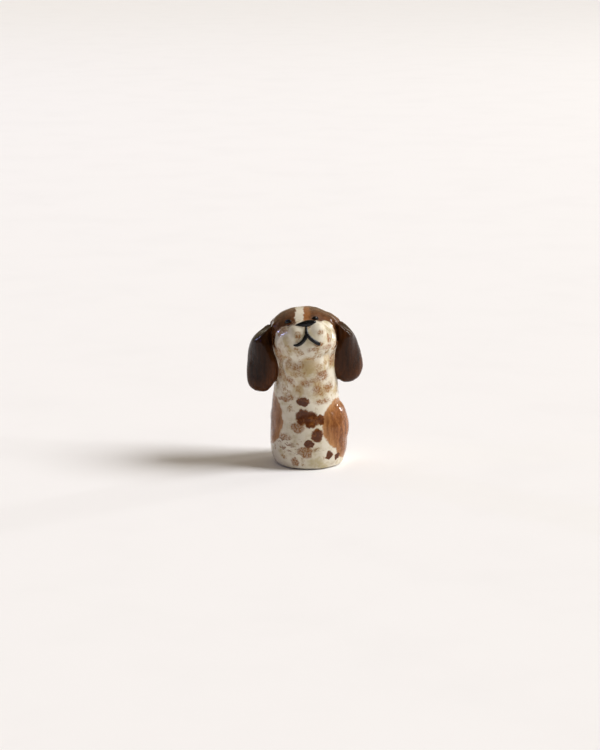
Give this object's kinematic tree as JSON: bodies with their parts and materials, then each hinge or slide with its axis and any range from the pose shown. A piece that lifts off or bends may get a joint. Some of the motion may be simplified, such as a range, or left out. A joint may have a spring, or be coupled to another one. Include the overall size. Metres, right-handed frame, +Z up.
{
  "type": "ceramic dog figurine",
  "caption": "Small glazed ceramic dog with a thumb-shaped hollow body, a big head that looks up, long drop ears and brown spots on white.",
  "frame": {"origin": "centre of the overall box, at the face the figurine stands on", "axes": "+Z up through the crown, the dog faces -Y, its own left side is +X"},
  "size_m": [0.0327, 0.0278, 0.0452],
  "materials": {
    "white_glaze": "glossy",
    "brown_glaze": "glossy",
    "tan_glaze": "glossy",
    "black_slip": "glossy"
  },
  "bodies": {
    "root": {"torso": "white_glaze", "head": "brown_glaze", "muzzle": "white_glaze", "left_ear": "brown_glaze", "right_ear": "brown_glaze", "left_eye": "black_slip", "right_eye": "black_slip", "nose": "black_slip", "mouth_line": "black_slip", "left_haunch": "tan_glaze", "right_haunch": "tan_glaze", "tail": "brown_glaze"}
  },
  "joints": []
}
